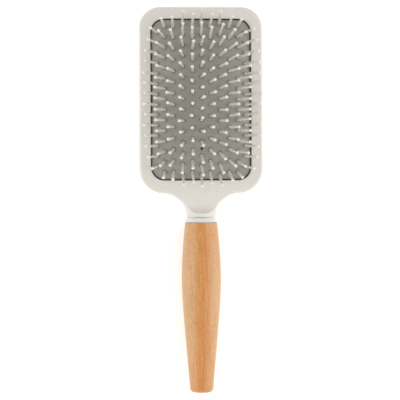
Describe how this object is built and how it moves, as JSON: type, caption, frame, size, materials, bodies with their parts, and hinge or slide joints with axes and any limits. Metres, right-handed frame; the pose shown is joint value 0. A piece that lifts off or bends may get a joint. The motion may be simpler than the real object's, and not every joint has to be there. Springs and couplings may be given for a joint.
{
  "type": "paddle hairbrush",
  "caption": "Paddle hairbrush with a rectangular head, a domed air cushion of flexing ball-tipped pins and a turned wooden handle.",
  "frame": {"origin": "below the middle of the brush's length and width, level with the lowest point of the handle, 0.2 mm below the flat back of the head", "axes": "+Y from the handle's butt to the head's far end, +Z the way the pins point, +X to the right seen from the pin side with the head up"},
  "size_m": [0.08, 0.25, 0.0435],
  "materials": {
    "cream_plastic": "satin",
    "grey_rubber": "matte",
    "ivory_pin": "gloss",
    "satin_ring": "satin",
    "beech": "satin lacquer"
  },
  "bodies": {
    "brush": {"front_frame": "cream_plastic", "back_shell": "cream_plastic", "cushion": "grey_rubber", "ring": "satin_ring", "handle": "beech"},
    "pins_centre": {"pins_centre": "ivory_pin"},
    "pins_fifth_bottom": {"pins_fifth_bottom": "ivory_pin"},
    "pins_fifth_left": {"pins_fifth_left": "ivory_pin"},
    "pins_fifth_right": {"pins_fifth_right": "ivory_pin"},
    "pins_fifth_top": {"pins_fifth_top": "ivory_pin"},
    "pins_fourth_bottom": {"pins_fourth_bottom": "ivory_pin"},
    "pins_fourth_left": {"pins_fourth_left": "ivory_pin"},
    "pins_fourth_right": {"pins_fourth_right": "ivory_pin"},
    "pins_fourth_top": {"pins_fourth_top": "ivory_pin"},
    "pins_outer_bottom": {"pins_outer_bottom": "ivory_pin"},
    "pins_outer_left": {"pins_outer_left": "ivory_pin"},
    "pins_outer_right": {"pins_outer_right": "ivory_pin"},
    "pins_outer_top": {"pins_outer_top": "ivory_pin"},
    "pins_second_bottom": {"pins_second_bottom": "ivory_pin"},
    "pins_second_left": {"pins_second_left": "ivory_pin"},
    "pins_second_right": {"pins_second_right": "ivory_pin"},
    "pins_second_top": {"pins_second_top": "ivory_pin"},
    "pins_third_bottom": {"pins_third_bottom": "ivory_pin"},
    "pins_third_left": {"pins_third_left": "ivory_pin"},
    "pins_third_right": {"pins_third_right": "ivory_pin"},
    "pins_third_top": {"pins_third_top": "ivory_pin"}
  },
  "joints": [
    {"name": "cushion_press", "type": "slide", "parent": "brush", "child": "pins_centre", "axis": [0, 0, -1], "range_m": [0, 0.005], "stiffness_N_per_m": 1200, "deforming": ["cushion"]},
    {"name": "lean_fifth_bottom", "type": "hinge", "parent": "brush", "child": "pins_fifth_bottom", "pos_m": [0, -0.07328, 0.02504], "axis": [-1, 0, 0], "range_deg": [0, 2.5]},
    {"name": "lean_fifth_left", "type": "hinge", "parent": "brush", "child": "pins_fifth_left", "pos_m": [-0.12173, 0.0651, 0.02516], "axis": [0, 1, 0], "range_deg": [0, 2.5]},
    {"name": "lean_fifth_right", "type": "hinge", "parent": "brush", "child": "pins_fifth_right", "pos_m": [0.12173, 0.0651, 0.02516], "axis": [0, -1, 0], "range_deg": [0, 2.5]},
    {"name": "lean_fifth_top", "type": "hinge", "parent": "brush", "child": "pins_fifth_top", "pos_m": [0, 0.19446, 0.02498], "axis": [1, 0, 0], "range_deg": [0, 2.6]},
    {"name": "lean_fourth_bottom", "type": "hinge", "parent": "brush", "child": "pins_fourth_bottom", "pos_m": [0, -0.02558, 0.02436], "axis": [-1, 0, 0], "range_deg": [0, 4]},
    {"name": "lean_fourth_left", "type": "hinge", "parent": "brush", "child": "pins_fourth_left", "pos_m": [-0.05924, 0.0651, 0.02415], "axis": [0, 1, 0], "range_deg": [0, 5.3]},
    {"name": "lean_fourth_right", "type": "hinge", "parent": "brush", "child": "pins_fourth_right", "pos_m": [0.05924, 0.0651, 0.02415], "axis": [0, -1, 0], "range_deg": [0, 5.3]},
    {"name": "lean_fourth_top", "type": "hinge", "parent": "brush", "child": "pins_fourth_top", "pos_m": [0, 0.15428, 0.02433], "axis": [1, 0, 0], "range_deg": [0, 4.1]},
    {"name": "lean_outer_bottom", "type": "hinge", "parent": "brush", "child": "pins_outer_bottom", "pos_m": [0, 0.0132, 0.01812], "axis": [-1, 0, 0], "range_deg": [0, 12.1]},
    {"name": "lean_outer_left", "type": "hinge", "parent": "brush", "child": "pins_outer_left", "pos_m": [-0.03226, 0.0651, 0.01831], "axis": [0, 1, 0], "range_deg": [0, 15.7]},
    {"name": "lean_outer_right", "type": "hinge", "parent": "brush", "child": "pins_outer_right", "pos_m": [0.03226, 0.0651, 0.01831], "axis": [0, -1, 0], "range_deg": [0, 15.7]},
    {"name": "lean_outer_top", "type": "hinge", "parent": "brush", "child": "pins_outer_top", "pos_m": [0, 0.117, 0.01812], "axis": [1, 0, 0], "range_deg": [0, 12.1]},
    {"name": "lean_second_bottom", "type": "hinge", "parent": "brush", "child": "pins_second_bottom", "pos_m": [0, 0.01007, 0.02071], "axis": [-1, 0, 0], "range_deg": [0, 9.6]},
    {"name": "lean_second_left", "type": "hinge", "parent": "brush", "child": "pins_second_left", "pos_m": [-0.03443, 0.0651, 0.02048], "axis": [0, 1, 0], "range_deg": [0, 12]},
    {"name": "lean_second_right", "type": "hinge", "parent": "brush", "child": "pins_second_right", "pos_m": [0.03443, 0.0651, 0.02048], "axis": [0, -1, 0], "range_deg": [0, 12]},
    {"name": "lean_second_top", "type": "hinge", "parent": "brush", "child": "pins_second_top", "pos_m": [0, 0.12024, 0.02075], "axis": [1, 0, 0], "range_deg": [0, 9.5]},
    {"name": "lean_third_bottom", "type": "hinge", "parent": "brush", "child": "pins_third_bottom", "pos_m": [0, 0.00187, 0.02272], "axis": [-1, 0, 0], "range_deg": [0, 7]},
    {"name": "lean_third_left", "type": "hinge", "parent": "brush", "child": "pins_third_left", "pos_m": [-0.04107, 0.0651, 0.02265], "axis": [0, 1, 0], "range_deg": [0, 8.7]},
    {"name": "lean_third_right", "type": "hinge", "parent": "brush", "child": "pins_third_right", "pos_m": [0.04107, 0.0651, 0.02265], "axis": [0, -1, 0], "range_deg": [0, 8.7]},
    {"name": "lean_third_top", "type": "hinge", "parent": "brush", "child": "pins_third_top", "pos_m": [0, 0.12897, 0.02279], "axis": [1, 0, 0], "range_deg": [0, 6.8]}
  ],
  "couplings": [
    {"joint": "lean_fifth_bottom", "follows": "cushion_press", "rad_per_m": 8.042},
    {"joint": "lean_fifth_left", "follows": "cushion_press", "rad_per_m": 8.299},
    {"joint": "lean_fifth_right", "follows": "cushion_press", "rad_per_m": 8.299},
    {"joint": "lean_fifth_top", "follows": "cushion_press", "rad_per_m": 8.71},
    {"joint": "lean_fourth_bottom", "follows": "cushion_press", "rad_per_m": 13.511},
    {"joint": "lean_fourth_left", "follows": "cushion_press", "rad_per_m": 17.985},
    {"joint": "lean_fourth_right", "follows": "cushion_press", "rad_per_m": 17.985},
    {"joint": "lean_fourth_top", "follows": "cushion_press", "rad_per_m": 13.826},
    {"joint": "lean_outer_bottom", "follows": "cushion_press", "rad_per_m": 41.869},
    {"joint": "lean_outer_left", "follows": "cushion_press", "rad_per_m": 54.205},
    {"joint": "lean_outer_right", "follows": "cushion_press", "rad_per_m": 54.205},
    {"joint": "lean_outer_top", "follows": "cushion_press", "rad_per_m": 41.869},
    {"joint": "lean_second_bottom", "follows": "cushion_press", "rad_per_m": 32.813},
    {"joint": "lean_second_left", "follows": "cushion_press", "rad_per_m": 41.453},
    {"joint": "lean_second_right", "follows": "cushion_press", "rad_per_m": 41.453},
    {"joint": "lean_second_top", "follows": "cushion_press", "rad_per_m": 32.603},
    {"joint": "lean_third_bottom", "follows": "cushion_press", "rad_per_m": 23.863},
    {"joint": "lean_third_left", "follows": "cushion_press", "rad_per_m": 29.752},
    {"joint": "lean_third_right", "follows": "cushion_press", "rad_per_m": 29.752},
    {"joint": "lean_third_top", "follows": "cushion_press", "rad_per_m": 23.383}
  ]
}
